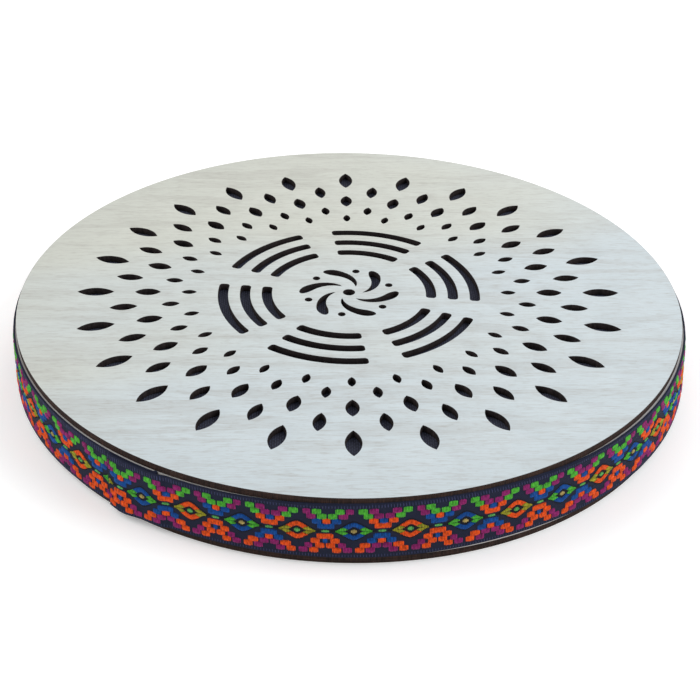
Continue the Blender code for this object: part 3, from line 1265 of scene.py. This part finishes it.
@dataclass
class JacquardPattern:
    """The repeat of the ribbon: two stepped figures with a diamond between each pair, in yarn columns.

    Depths are in metres below the ribbon's top edge. One repeat is columns_per_repeat yarns long.
    """

    columns_per_repeat: int = 74
    top_border: float = 2.9 * MM
    row_height: float = 3.05 * MM
    centre_zone: float = 3.5 * MM
    dash_height: float = 1.6 * MM
    row_overlap: float = 0.26 * MM
    corner_trim: float = 0.26 * MM
    corner_rise: float = 0.70
    row_shifts: tuple[float, ...] = (2.1, 1.4, 0.9, 0.4, -0.3, -0.3, -0.3, -0.3)
    diamond_half_height: float = 5.8 * MM
    diamond_curve: float = 0.7
    diamond_half_columns: float = 13.4
    crown_first: float = 2.8
    crown_run: float = 4.6
    eye_half_height: float = 2.8 * MM
    eye_half_columns: float = 5.9
    dot_half_height: float = 1.35 * MM
    dot_half_columns: float = 1.8
    outline_width: float = 0.8 * MM
    first_figure: tuple[StepRow, ...] = (
        StepRow(0, ((Yarn.GREEN, 12, 17), (Yarn.MAGENTA, 5, 10))),
        StepRow(1, ((Yarn.GREEN, 8, 13), (Yarn.MAGENTA, 1, 6))),
        StepRow(2, ((Yarn.ORANGE, 4, 9), (Yarn.BLUE, 0, 2))),
        StepRow(3, ((Yarn.ORANGE, 0, 5),)),
        StepRow(4, ((Yarn.BLUE, 0, 5),)),
        StepRow(5, ((Yarn.BLUE, 4, 9), (Yarn.ORANGE, 0, 2))),
        StepRow(6, ((Yarn.ORANGE, 8, 14), (Yarn.MAGENTA, 1, 6))),
        StepRow(7, ((Yarn.ORANGE, 12, 17), (Yarn.MAGENTA, 5, 10))),
    )
    second_figure: tuple[StepRow, ...] = (
        StepRow(0, ((Yarn.MAGENTA, 12, 16), (Yarn.GREEN, 5, 10))),
        StepRow(1, ((Yarn.MAGENTA, 8, 13), (Yarn.GREEN, 1, 6))),
        StepRow(2, ((Yarn.BLUE, 4, 9), (Yarn.ORANGE, 0, 2))),
        StepRow(3, ((Yarn.BLUE, 0, 5),)),
        StepRow(4, ((Yarn.ORANGE, 0, 5),)),
        StepRow(5, ((Yarn.ORANGE, 4, 9), (Yarn.BLUE, 0, 1))),
        StepRow(6, ((Yarn.MAGENTA, 9, 13), (Yarn.ORANGE, 1, 6))),
        StepRow(7, ((Yarn.MAGENTA, 12, 17), (Yarn.ORANGE, 5, 10))),
    )

    def row_span(self, row: int) -> tuple[float, float]:
        """Return the upper and lower end of a row below the ribbon's top edge.

        Args:
            row: the row's number from the top.
        Returns:
            The two depths.
        """
        upper = self.top_border + self.row_height * row
        if row >= 4:
            upper += self.centre_zone
        return (upper, upper + self.row_height)

    def middle(self) -> float:
        """Return the depth of the pattern's centre line."""
        return self.top_border + 4.0 * self.row_height + self.centre_zone / 2.0

    def taper(self, share: float) -> float:
        """Return a diamond's height at a share of its half length: a round crown and fine tips.

        Args:
            share: the share of the half length, from the middle.
        Returns:
            The height as a share of the tallest.
        """
        if share >= 1.0:
            return 0.0
        return between(1.0 - share, 0.5 + 0.5 * math.cos(math.pi * share), self.diamond_curve)

    def stepped(self, figure: tuple[StepRow, ...], centre: float) -> list[Float]:
        """Return the floats of one stepped figure and of the dash in its middle.

        Args:
            figure: the figure's rows.
            centre: its middle, in columns.
        Returns:
            The floats, with along in columns.
        """
        floats = []
        for step_row in figure:
            upper, lower = self.row_span(step_row.row)
            start = centre + self.row_shifts[step_row.row]
            for yarn, first, last in step_row.blocks:
                columns = set(range(first, last + 1)) | {-column for column in range(first, last + 1)}
                for column in sorted(columns):
                    corner = abs(column) == last or (abs(column) == first and first > 0)
                    trim = self.corner_trim if corner else 0.0
                    rise = self.corner_rise if corner else 1.0
                    top, foot = upper - self.row_overlap + trim, lower + self.row_overlap - trim
                    floats.append(Float(yarn, start + column, top, foot, rise))
        middle = self.middle()
        for column in range(-2, 3):
            half = self.dash_height / 2.0 * (0.7 if abs(column) == 2 else 1.0)
            floats.append(Float(Yarn.MINT, centre + column, middle - half, middle + half, 0.8))
        return floats

    def diamond(self, centre: float, crown: Yarn, tip: Yarn, dot: Yarn) -> list[Float]:
        """Return the floats of one diamond with its outline, its dark eye and the dot in the eye.

        Args:
            centre: its middle, in columns.
            crown: the yarn of its upper and lower arcs.
            tip: the yarn of its two ends.
            dot: the yarn of the dot.
        Returns:
            The floats, with along in columns.
        """
        floats = []
        middle = self.middle()
        reach = int(self.diamond_half_columns) + 2
        for number in range(-reach, reach):
            column = number + 0.5
            away = abs(column)
            outer = self.diamond_half_height * self.taper(away / self.diamond_half_columns)
            eye = self.eye_half_height * max(0.0, 1.0 - (away / self.eye_half_columns) ** 1.25)
            dot_share = max(0.0, 1.0 - (away / self.dot_half_columns) ** 2)
            dot_half = self.dot_half_height * math.sqrt(dot_share)
            edge = outer + self.outline_width if away < self.diamond_half_columns + 1.2 else 0.0
            split = outer * clamp((away - self.crown_first) / self.crown_run)
            for side in (-1.0, 1.0):
                spans = [(Yarn.OUTLINE, dot_half, eye, 0.35), (tip, eye, max(eye, split), 1.0),
                         (crown, max(eye, split), outer, 1.0), (Yarn.OUTLINE, outer, edge, 0.45)]
                for yarn, near, far, rise in spans:
                    if far - near > 0.3 * MM:
                        ends = sorted((middle + side * near, middle + side * far))
                        floats.append(Float(yarn, centre + column, ends[0], ends[1], rise))
            if dot_half > 0.2 * MM:
                floats.append(Float(dot, centre + column, middle - dot_half, middle + dot_half, 0.9))
        return floats

    def repeat(self) -> list[Float]:
        """Return one whole repeat, with the first diamond in its middle at column 0.

        Returns:
            The floats, with along in columns.
        """
        quarter = self.columns_per_repeat / 4.0
        floats = self.diamond(0.0, Yarn.ORANGE, Yarn.OLIVE, Yarn.MINT)
        floats += self.stepped(self.second_figure, quarter)
        floats += self.diamond(2.0 * quarter, Yarn.BLUE, Yarn.GREEN, Yarn.TAN)
        floats += self.stepped(self.first_figure, -quarter)
        return floats


@dataclass
class Ribbon:
    """The woven ribbon glued round the hoop, with one end lapped over the other.

    The lapped end is at lap_end. The ribbon runs counter-clockwise from there to the hidden end, which lies
    under the first stretch, so angles along it are counted from lap_end upwards, past a full turn.
    """

    node: str = "trim_ribbon"
    lap_end: float = -129.4
    hidden_end: float = 240.0
    ramp: float = 1.7
    stance: HoopStance = HoopStance()
    cloth: float = 0.8 * MM
    glue: float = 0.1 * MM
    layer: float = 1.4 * MM
    yarn_rise: float = 0.58 * MM
    dive_length: float = 0.55 * MM
    shortest_float: float = 0.1 * MM
    width: float = 34.0 * MM
    selvedge: float = 1.1 * MM
    top_height: float = 38.1 * MM
    bottom_height: float = 4.2 * MM
    high_spot: float = -76.0
    high_spot_lift: float = 1.5 * MM
    high_spot_spread: float = 18.5
    low_spot: float = -66.0
    low_spot_lift: float = 1.5 * MM
    low_spot_spread: float = 17.0
    droop: float = 1.9 * MM
    droop_spread: float = 15.0
    top_follow: float = 0.15
    bottom_follow: float = 0.35
    tufts: tuple[tuple[float, float], ...] = ((-128.9, 1.0 * MM), (239.7, 0.6 * MM))
    tuft_half_width: float = 0.45
    wander: float = 0.2 * MM
    pucker: float = 0.10 * MM
    lean_in: float = 0.9
    loose_corner: float = 2.3 * MM
    loose_place: float = 2.7
    loose_spread: float = 2.3
    first_diamond: float = -82.27
    back_tightening: float = 2.45
    tightening_run: float = 200.0
    repeat_angle: float = 16.232
    tick_columns: int = 2
    tick_outer: float = 0.35 * MM
    tick_inner: float = 0.45 * MM
    top_tick_rise: float = 0.4
    bottom_tick_rise: float = 0.25
    pattern: JacquardPattern = field(default_factory=JacquardPattern)

    def measure(self) -> None:
        """Take the ribbon's place from the frame."""
        low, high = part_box("hoop")
        self.hoop_radius = (high.x - low.x) / 2.0
        self.hoop_top = high.z

    def hang(self, degrees: float) -> float:
        """Return how far the pattern has slipped down on both sides of the lap."""
        away = math.remainder(degrees - self.lap_end, 360.0)
        return self.droop * math.exp(-(away / self.droop_spread) ** 2)

    def pattern_slip(self, degrees: float) -> float:
        """Return how much further than the top edge the pattern has slipped."""
        return self.hang(degrees) * (1.0 - self.top_follow)

    def top_edge(self, degrees: float) -> float:
        """Return the height of the ribbon's top edge: highest in front, and frayed in two places.

        Args:
            degrees: the angle along the ribbon.
        Returns:
            The height.
        """
        front = math.remainder(degrees - self.high_spot, 360.0) / self.high_spot_spread
        wander = self.wander * noise.noise(Vector((*polar(2.0, degrees), 5.0)))
        fray = 0.0
        for place, lift in self.tufts:
            fray += lift * max(0.0, 1.0 - abs(degrees - place) / self.tuft_half_width)
        slip = self.hang(degrees) * self.top_follow
        return self.top_height + self.high_spot_lift * math.exp(-front ** 2) + wander + fray - slip

    def bottom_edge(self, degrees: float) -> float:
        """Return the height of the ribbon's bottom edge.

        Args:
            degrees: the angle along the ribbon.
        Returns:
            The height.
        """
        front = math.remainder(degrees - self.low_spot, 360.0) / self.low_spot_spread
        slip = self.hang(degrees) * self.bottom_follow
        return self.bottom_height + self.low_spot_lift * math.exp(-front ** 2) - slip

    def back(self, degrees: float) -> float:
        """Return the radius of the ribbon's back: it climbs over the hidden end near the lap.

        Args:
            degrees: the angle along the ribbon.
        Returns:
            The radius.
        """
        past = degrees - (self.hidden_end - 360.0)
        climb = 1.0 - smoothstep(past / self.ramp)
        return self.hoop_radius + self.glue + self.layer * climb

    def swell(self, degrees: float, height: float) -> float:
        """Return the ribbon's small puckers, and how far it leans in over the hoop's top edge.

        Args:
            degrees: the angle along the ribbon.
            height: the height above the floor.
        Returns:
            The distance outwards; negative is inwards.
        """
        pucker = self.pucker * noise.noise(Vector((degrees * 0.35, height * 70.0, 1.0)))
        lean = max(0.0, height - self.hoop_top) * self.lean_in
        low = clamp(1.0 - height / self.hoop_top) ** 2
        away = math.remainder(degrees - self.lap_end - self.loose_place, 360.0)
        loose = self.loose_corner * low * math.exp(-(away / self.loose_spread) ** 2)
        return abs(pucker) - lean + loose

    def place(self, degrees: float, depth: float, rise: float) -> Place:
        """Return a point on or above the ribbon's ground.

        Args:
            degrees: the angle along the ribbon.
            depth: the distance below the top edge.
            rise: the height above the ground's outer side.
        Returns:
            The point.
        """
        height = self.top_edge(degrees) - depth
        radius = self.back(degrees) + self.cloth + self.swell(degrees, height) + rise
        return self.stance.point(radius, degrees, height)

    def thickness(self, share: float) -> float:
        """Return the ground's thickness at a share of its width: the selvedges are rounded and fuller.

        Args:
            share: the share of the width, from the top edge.
        Returns:
            The thickness.
        """
        from_edge = min(share, 1.0 - share) * self.width
        if from_edge >= self.selvedge:
            return self.cloth
        bulge = math.sin(math.pi * clamp(from_edge / self.selvedge))
        return self.cloth * (between(0.5, 1.0, from_edge / self.selvedge) + 0.45 * bulge)

    def ground(self) -> bpy.types.Object:
        """Make the ground: one long thin closed band.

        Returns:
            The finished piece.
        """
        edge = [0.0, 0.012, 0.024, 0.036]
        middle = [between(0.06, 0.94, step / 14.0) for step in range(15)]
        shares = edge + middle + [1.0 - share for share in reversed(edge)]
        backs = [0.97, 0.75, 0.5, 0.25, 0.03]
        stations = 1000
        draft = MeshDraft()
        rings = []
        for step in range(stations + 1):
            degrees = between(self.lap_end, self.hidden_end, step / stations)
            top, bottom = self.top_edge(degrees), self.bottom_edge(degrees)
            points = []
            for share in shares:
                height = between(top, bottom, share)
                radius = self.back(degrees) + self.thickness(share) + self.swell(degrees, height)
                points.append(self.stance.point(radius, degrees, height))
            for share in backs:
                height = between(top, bottom, share)
                radius = self.back(degrees) + self.swell(degrees, height) * 0.9
                points.append(self.stance.point(radius, degrees, height))
            rings.append(draft.ring(points))
        for first, second in zip(rings, rings[1:]):
            draft.bridge(first, second)
        draft.face(rings[0])
        draft.face(rings[-1][::-1])
        # The glint colour is the painted highlight on the ground's thread crowns.
        finish = WovenFinish("ribbon_ground_weave", roughness=0.75, bump_depth=0.0002, bump_strength=0.7,
                             thread=(0.008, 0.010, 0.024), glint=(0.021, 0.027, 0.062),
                             pitch_along=0.42 * MM, pitch_across=0.6 * MM, round_hoop=True)
        mesh = draft.mesh("ribbon_ground", 50.0)
        return add_piece("ribbon_ground", mesh, [finish.material()])

    def column_angle(self) -> float:
        """Return the angle that one yarn column takes up."""
        return self.repeat_angle / self.pattern.columns_per_repeat

    def figure_floats(self) -> list[Float]:
        """Return every figure float round the whole ribbon, with along in degrees.

        Returns:
            The floats.
        """
        pitch = self.column_angle()
        floats = []
        first = math.floor((self.lap_end - self.first_diamond) / self.repeat_angle) - 1
        last = math.ceil((self.hidden_end - self.first_diamond) / self.repeat_angle) + 1
        repeat = self.pattern.repeat()
        for number in range(first, last + 1):
            start = self.first_diamond + self.repeat_angle * number
            for item in repeat:
                degrees = start + item.along * pitch
                degrees -= self.back_tightening * smoothstep(degrees / self.tightening_run)
                if self.lap_end + pitch < degrees < self.hidden_end - pitch:
                    slip = self.pattern_slip(degrees)
                    floats.append(Float(item.yarn, degrees, item.upper + slip, item.lower + slip, item.rise))
        return floats

    def tick_floats(self) -> list[Float]:
        """Return the fine upright ticks along both borders.

        Returns:
            The floats.
        """
        pitch = self.column_angle() * self.tick_columns
        count = int((self.hidden_end - self.lap_end) / pitch)
        border = self.pattern.top_border
        floats = []
        for number in range(1, count):
            degrees = self.lap_end + pitch * number
            foot = border + self.pattern_slip(degrees) - self.tick_inner
            floats.append(Float(Yarn.TICK, degrees, self.tick_outer, foot, self.top_tick_rise))
            depth = self.top_edge(degrees) - self.bottom_edge(degrees)
            head = depth - border + self.tick_inner
            floats.append(Float(Yarn.TICK, degrees, head, depth - self.tick_outer, self.bottom_tick_rise))
        return floats

    def add_float(self, draft: MeshDraft, item: Float, dice: random.Random) -> None:
        """Add one float: a short yarn with a round back, whose ends dive into the ground.

        Args:
            draft: the mesh being built.
            item: the float.
            dice: the seeded source of small differences between yarns.
        """
        half = self.column_angle() * (0.53 if item.yarn is not Yarn.TICK else 0.36)
        centre = item.along + self.column_angle() * dice.uniform(-0.05, 0.05)
        rise = self.yarn_rise * item.rise * dice.uniform(0.86, 1.08)
        upper = item.upper + dice.uniform(-0.07, 0.07) * MM
        lower = item.lower + dice.uniform(-0.07, 0.07) * MM
        sunk = -0.1 * MM
        dive = min(0.30, self.dive_length / max(lower - upper, self.shortest_float))
        rings = []
        end, shoulder = (0.10, 0.62), (0.84, 1.0)
        stages = ((0.0, *end), (dive, *shoulder), (0.5, 1.08, 1.0), (1.0 - dive, *shoulder), (1.0, *end))
        for share, lift, breadth in stages:
            depth = between(upper, lower, share)
            points = []
            for side, crown in ((-1.0, 0.0), (-0.52, 1.0), (0.52, 1.0), (1.0, 0.0)):
                height = between(sunk, rise * lift, crown)
                points.append(self.place(centre + side * half * breadth, depth, height))
            rings.append(draft.ring(points))
        for first, second in zip(rings, rings[1:]):
            draft.bridge(first, second)
        draft.face(rings[0])
        draft.face(rings[-1][::-1])

    def yarn_pieces(self) -> list[bpy.types.Object]:
        """Make one piece for each yarn, of all its floats.

        Returns:
            The pieces, in the order of Yarn.
        """
        dice = random.Random(7)
        drafts = {yarn: MeshDraft() for yarn in Yarn}
        for item in self.figure_floats() + self.tick_floats():
            self.add_float(drafts[item.yarn], item, dice)
        pitch = math.radians(self.column_angle()) * 0.2
        pieces = []
        for yarn, draft in drafts.items():
            finish = YarnFinish(f"{yarn.value}_yarn", roughness=0.62, bump_depth=0.00006, bump_strength=0.5,
                                colour=YARN_COLOURS[yarn], pitch=pitch)
            name = f"ribbon_yarn_{yarn.value}"
            pieces.append(add_piece(name, draft.mesh(name, 75.0), [finish.material()]))
        return pieces

    def build(self) -> bpy.types.Object:
        """Returns:
            The ribbon's ground, which the yarns lie on.
        """
        self.measure()
        ground = self.ground()
        yarns = self.yarn_pieces()
        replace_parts(ground, self.node)
        return ground


# --------------------------------------------------------------------------------------------------------
# Beads


@dataclass
class Beads:
    """The loose steel shot, one ball on each bead body."""

    prefix: str = "bead_"
    wear: float = 0.02 * MM

    def ball(self, number: int, node: str) -> bpy.types.Object:
        """Make one ball, very slightly out of round, in place of a CAD bead.

        Args:
            number: the ball's number.
            node: the CAD bead.
        Returns:
            The finished piece.
        """
        low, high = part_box(node)
        centre = (low + high) / 2.0
        radius = (high.z - low.z) / 2.0
        working = bmesh.new()
        bmesh.ops.create_icosphere(working, subdivisions=4, radius=radius)
        for vert in working.verts:
            way = vert.co.normalized()
            vert.co -= way * self.wear * abs(noise.noise(way * 2.5 + Vector((number, 0.0, 0.0))))
            vert.co += centre
        mesh = bpy.data.meshes.new(f"shot_{number:02d}")
        working.to_mesh(mesh)
        working.free()
        mesh.shade_smooth()
        piece = add_piece(f"shot_{number:02d}", mesh, [self.steel], node)
        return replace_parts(piece, node)

    def build(self) -> list[bpy.types.Object]:
        """Make every ball that the frame has a bead for.

        Returns:
            The balls.
        """
        finish = SteelFinish("tumbled_steel", roughness=0.26, bump_depth=0.00002, bump_strength=0.3)
        self.steel = finish.material()
        names = sorted(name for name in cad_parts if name.startswith(self.prefix))
        return [self.ball(number, name) for number, name in enumerate(names, start=1)]


# --------------------------------------------------------------------------------------------------------
# Studio


@dataclass(frozen=True)
class SoftBox:
    """A soft rectangular lamp that points at the drum."""

    name: str
    place: Place
    size: float
    power: float
    colour: Colour

    def build(self) -> None:
        """Hang the lamp."""
        data = bpy.data.lights.new(self.name, "AREA")
        data.shape = "SQUARE"
        data.size = self.size
        data.energy = self.power
        data.color = self.colour
        lamp = bpy.data.objects.new(self.name, data)
        lamp.location = self.place
        lamp.rotation_mode = "QUATERNION"
        lamp.rotation_quaternion = (-Vector(self.place)).to_track_quat("-Z", "Y")
        bpy.context.scene.collection.objects.link(lamp)


@dataclass
class Studio:
    """The floor, the lamps, the sky and the camera."""

    eye: Place = (-0.01684, -0.74574, 0.48182)
    aim: Place = (-0.00045, -0.0651, 0.042)
    roll: float = 0.833
    lens: float = 72.7
    sensor: float = 36.0
    floor_size: float = 12.0
    floor_height: float = -0.2 * MM
    sky: Colour = (0.97, 0.985, 1.0)
    sky_strength: float = 0.60
    lamps: tuple[SoftBox, ...] = (
        SoftBox("right_softbox", (1.5, -0.35, 1.3), 1.2, 18.0, (0.98, 0.99, 1.0)),
        SoftBox("left_softbox", (-1.5, 0.1, 1.3), 1.2, 13.0, (1.0, 0.98, 0.95)),
        SoftBox("back_softbox", (0.4, 1.6, 0.9), 1.0, 6.0, (1.0, 0.98, 0.94)),
    )

    def camera(self) -> None:
        """Place the camera."""
        data = bpy.data.cameras.new("camera")
        data.lens = self.lens
        data.sensor_width = self.sensor
        data.clip_start = 0.01
        data.clip_end = 50.0
        camera = bpy.data.objects.new("camera", data)
        bpy.context.scene.collection.objects.link(camera)
        way = Vector(self.aim) - Vector(self.eye)
        turn = way.to_track_quat("-Z", "Y").to_matrix().to_4x4()
        roll = Matrix.Rotation(math.radians(self.roll), 4, "Z")
        camera.matrix_world = Matrix.Translation(self.eye) @ turn @ roll
        bpy.context.scene.camera = camera

    def floor(self) -> None:
        """Lay the floor just below the drum."""
        half = self.floor_size / 2.0
        draft = MeshDraft()
        corners = ((-half, -half), (half, -half), (half, half), (-half, half))
        draft.face(draft.ring((x, y, self.floor_height) for x, y in corners))
        mesh = draft.mesh("floor")
        mesh.materials.append(FloorFinish("pale_floor", roughness=0.9).material())
        floor = bpy.data.objects.new("floor", mesh)
        bpy.context.scene.collection.objects.link(floor)

    def build(self) -> None:
        """Set up the whole studio."""
        scene = bpy.context.scene
        world = bpy.data.worlds.new("studio_sky")
        scene.world = world
        world.use_nodes = True
        background = world.node_tree.nodes["Background"]
        background.inputs["Color"].default_value = opaque(self.sky)
        background.inputs["Strength"].default_value = self.sky_strength
        scene.view_settings.view_transform = "Standard"
        for lamp in self.lamps:
            lamp.build()
        self.floor()
        self.camera()


def main() -> None:
    """Build every sub-assembly over the frame."""
    logging.basicConfig(level=logging.INFO, format="%(name)s %(message)s")
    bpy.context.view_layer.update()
    Studio().build()
    # The face veneer carries painted light: warmer tone towards the left and back, cooler towards the front
    # right.
    face_veneer = PlywoodFinish("face_veneer", roughness=0.62, bump_depth=0.00006, bump_strength=0.5,
                                pale=(0.566, 0.632, 0.662), warm=(0.585, 0.600, 0.540),
                                line=(0.36, 0.34, 0.31), figure=0.2, painted_light_warm_towards=(-0.85, 0.95, 0.0))
    base_veneer = PlywoodFinish("base_veneer", roughness=0.64, bump_depth=0.00006, bump_strength=0.5,
                                pale=(0.62, 0.64, 0.60), warm=(0.58, 0.54, 0.44), line=(0.36, 0.29, 0.20),
                                figure=0.3)
    base_shift = (1.2 * MM, 0.1 * MM)
    FacePlate("top_plate", "pierced_face", "pale_plywood", face_veneer).build()
    Plate("bottom_plate", "base_board", "base_plywood", base_veneer, shift=base_shift).build()
    Hoop().build()
    Lining().build()
    Ribbon().build()
    Beads().build()


if __name__ == "__main__":
    main()
